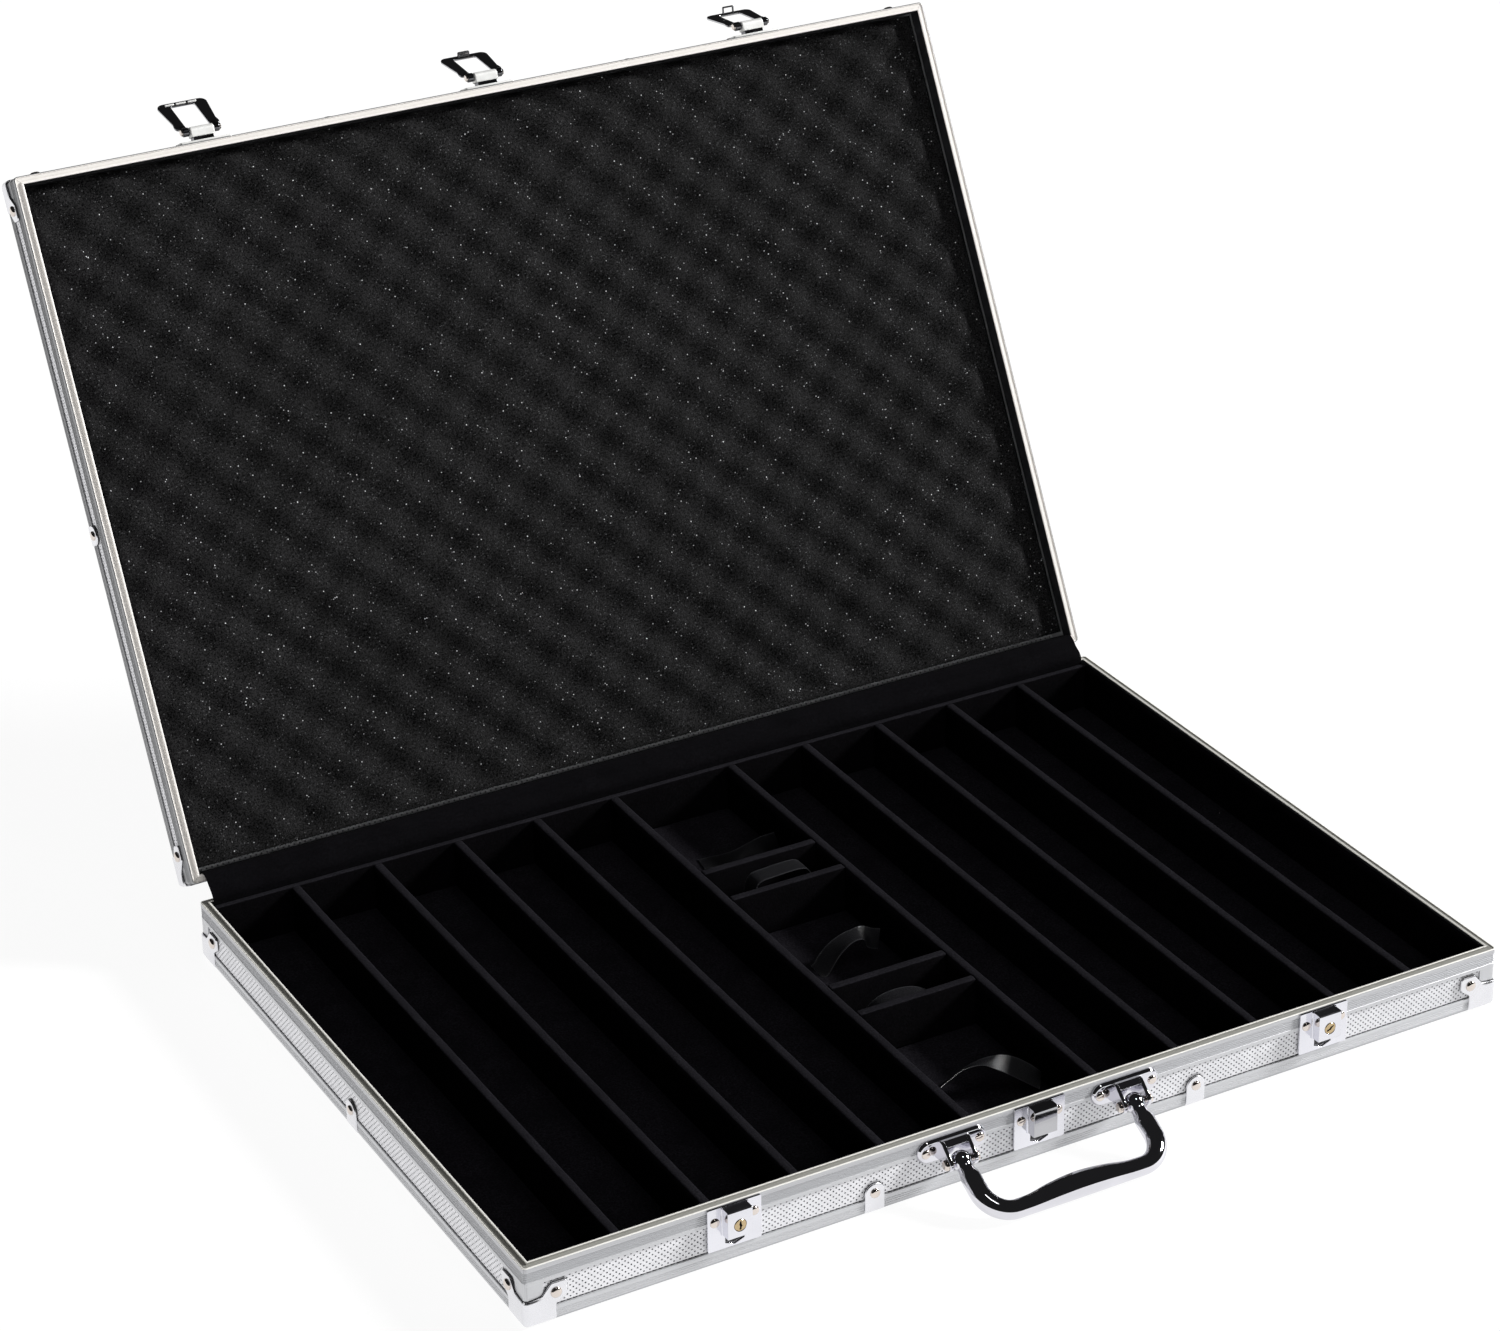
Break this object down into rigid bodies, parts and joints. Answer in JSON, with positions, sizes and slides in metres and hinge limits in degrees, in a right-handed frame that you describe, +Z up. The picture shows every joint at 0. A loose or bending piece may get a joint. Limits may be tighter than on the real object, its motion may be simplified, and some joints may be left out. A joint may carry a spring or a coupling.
{
  "type": "poker chip case",
  "caption": "Shallow aluminium chip case with a hinged foam-lined lid, a divided felt tray, key locks, hasps and a carrying handle.",
  "frame": {"origin": "middle of the base's underside", "axes": "+X to the right, -Y to the front with the handle and locks, +Z up; the lid is open on its stop at rest"},
  "size_m": [0.5642, 0.6538, 0.3926],
  "materials": {
    "embossed_board": "silver laminate on board with staggered dark dots",
    "profile_aluminium": "satin, fine lengthwise ribs",
    "trim_metal": "satin nickel plate",
    "rivet_nickel": "bright nickel",
    "black_felt": "short felt",
    "satin_ribbon": "woven satin",
    "lock_chrome": "satin chrome plate",
    "catch_black": "dark, matt",
    "key_brass": "turned face",
    "handle_chrome": "polished chrome plate",
    "black_foam": "open-cell foam"
  },
  "bodies": {
    "case_base": {"base_panel": "embossed_board", "base_wall_front": "embossed_board", "base_wall_back": "embossed_board", "base_wall_left": "embossed_board", "base_wall_right": "embossed_board", "base_rim_profiles": "profile_aluminium", "base_edge_profiles": "profile_aluminium", "base_corner_caps": "trim_metal", "base_edge_clips": "trim_metal", "base_rivets": "rivet_nickel", "tray_floor": "black_felt", "tray_liners": "black_felt", "chip_dividers": "black_felt", "cross_dividers": "black_felt", "ribbon_rear_cards": "satin_ribbon", "ribbon_rear_dice": "satin_ribbon", "ribbon_middle_cards": "satin_ribbon", "ribbon_front_dice": "satin_ribbon", "ribbon_front_cards": "satin_ribbon", "lock_left": "lock_chrome", "lock_centre": "lock_chrome", "lock_right": "lock_chrome", "lock_catches": "catch_black", "handle_bracket_left": "handle_chrome", "handle_bracket_right": "handle_chrome", "handle_pins": "rivet_nickel", "hinge_base_leaves": "trim_metal", "hinge_pins": "trim_metal", "hinge_flap": "black_felt"},
    "case_lid": {"hinge_lid_leaves": "trim_metal", "lid_panel": "embossed_board", "lid_wall_front": "embossed_board", "lid_wall_back": "embossed_board", "lid_wall_left": "embossed_board", "lid_wall_right": "embossed_board", "lid_rim_profiles": "profile_aluminium", "lid_edge_profiles": "profile_aluminium", "lid_corner_caps": "trim_metal", "lid_edge_clips": "trim_metal", "lid_rivets": "rivet_nickel", "lid_foam": "black_foam", "hasp_bracket_left": "lock_chrome", "hasp_bracket_centre": "lock_chrome", "hasp_bracket_right": "lock_chrome", "hasp_pins": "lock_chrome"},
    "left_key": {"key_plug_left": "key_brass"},
    "right_key": {"key_plug_right": "key_brass"},
    "carry_handle": {"handle": "handle_chrome"},
    "left_hasp": {"hasp_left": "handle_chrome"},
    "centre_hasp": {"hasp_centre": "handle_chrome"},
    "right_hasp": {"hasp_right": "handle_chrome"}
  },
  "joints": [
    {"name": "lid_hinge", "type": "hinge", "parent": "case_base", "child": "case_lid", "pos_m": [0, 0.19754, 0.03564], "axis": [1, 0, 0], "range_deg": [0, 118], "deforming": ["hinge_flap"]},
    {"name": "left_hasp_pivot", "type": "hinge", "parent": "case_lid", "child": "left_hasp", "pos_m": [-0.17, 0.38938, 0.38354], "axis": [1, 0, 0], "range_deg": [-32, 138]},
    {"name": "centre_hasp_pivot", "type": "hinge", "parent": "case_lid", "child": "centre_hasp", "pos_m": [0, 0.38938, 0.38354], "axis": [1, 0, 0], "range_deg": [-23, 147]},
    {"name": "right_hasp_pivot", "type": "hinge", "parent": "case_lid", "child": "right_hasp", "pos_m": [0.17, 0.38938, 0.38354], "axis": [1, 0, 0], "range_deg": [-14, 156]},
    {"name": "handle_pivot", "type": "hinge", "parent": "case_base", "child": "carry_handle", "pos_m": [0, -0.2022, 0.0205], "axis": [-1, 0, 0], "range_deg": [0, 100]},
    {"name": "left_key_turn", "type": "hinge", "parent": "case_base", "child": "left_key", "pos_m": [-0.17, -0.1977, 0.0238], "axis": [0, 1, 0], "range_deg": [0, 90]},
    {"name": "right_key_turn", "type": "hinge", "parent": "case_base", "child": "right_key", "pos_m": [0.17, -0.1977, 0.0238], "axis": [0, 1, 0], "range_deg": [-55, 35]}
  ]
}
